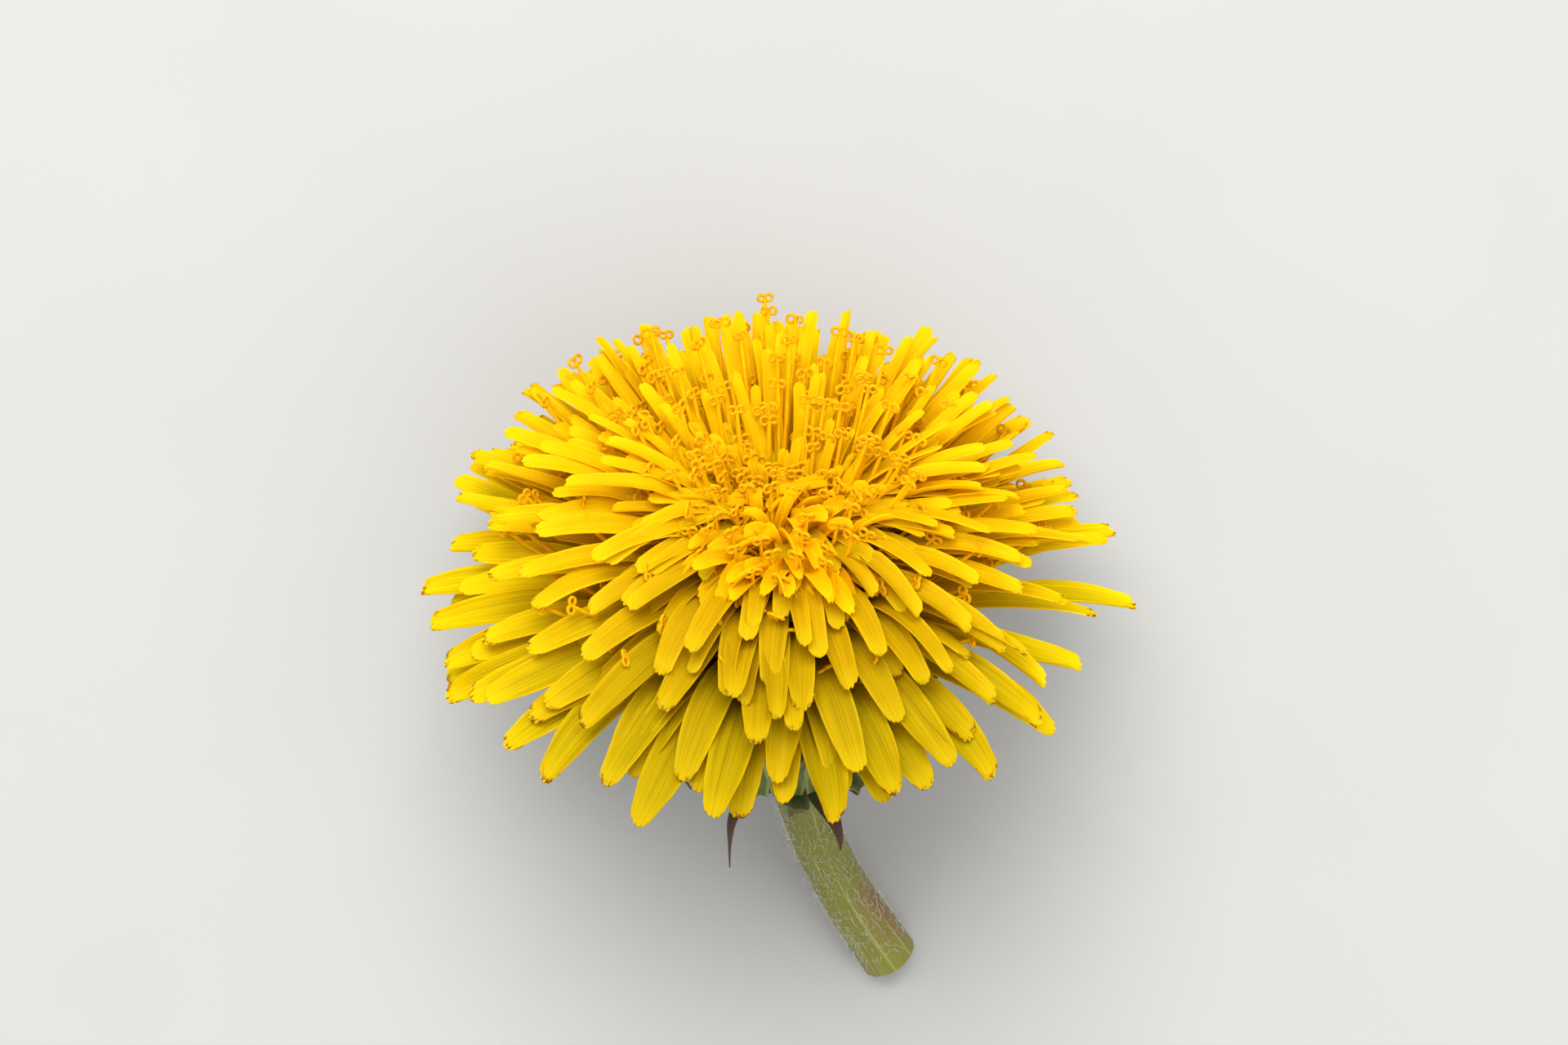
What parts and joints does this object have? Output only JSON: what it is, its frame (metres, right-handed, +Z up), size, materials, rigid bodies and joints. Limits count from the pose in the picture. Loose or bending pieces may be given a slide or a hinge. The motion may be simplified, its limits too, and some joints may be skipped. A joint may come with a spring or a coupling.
{
  "type": "dandelion",
  "caption": "Picked dandelion lying down: an open, domed head of strap-shaped florets over green bracts, on a short cut hollow stem.",
  "frame": {"origin": "on the surface that the flower lies on, under the middle of its bounding box", "axes": "+Z up from that surface, +Y along it from the cut end of the stem towards the head, +X to the right when the face of the head is looked down on with the stem at the bottom"},
  "size_m": [0.0424, 0.0403, 0.0309],
  "materials": {
    "ligule": "soft yellow petal, finely grooved along its length",
    "bract": "matt green bract with a pale bloom and purple-brown tip",
    "scape": "satin olive green stem with a brown blush and fine hairs"
  },
  "bodies": {
    "root": {"ray_florets": "ligule", "involucre": "bract", "scape": "scape"}
  },
  "joints": []
}
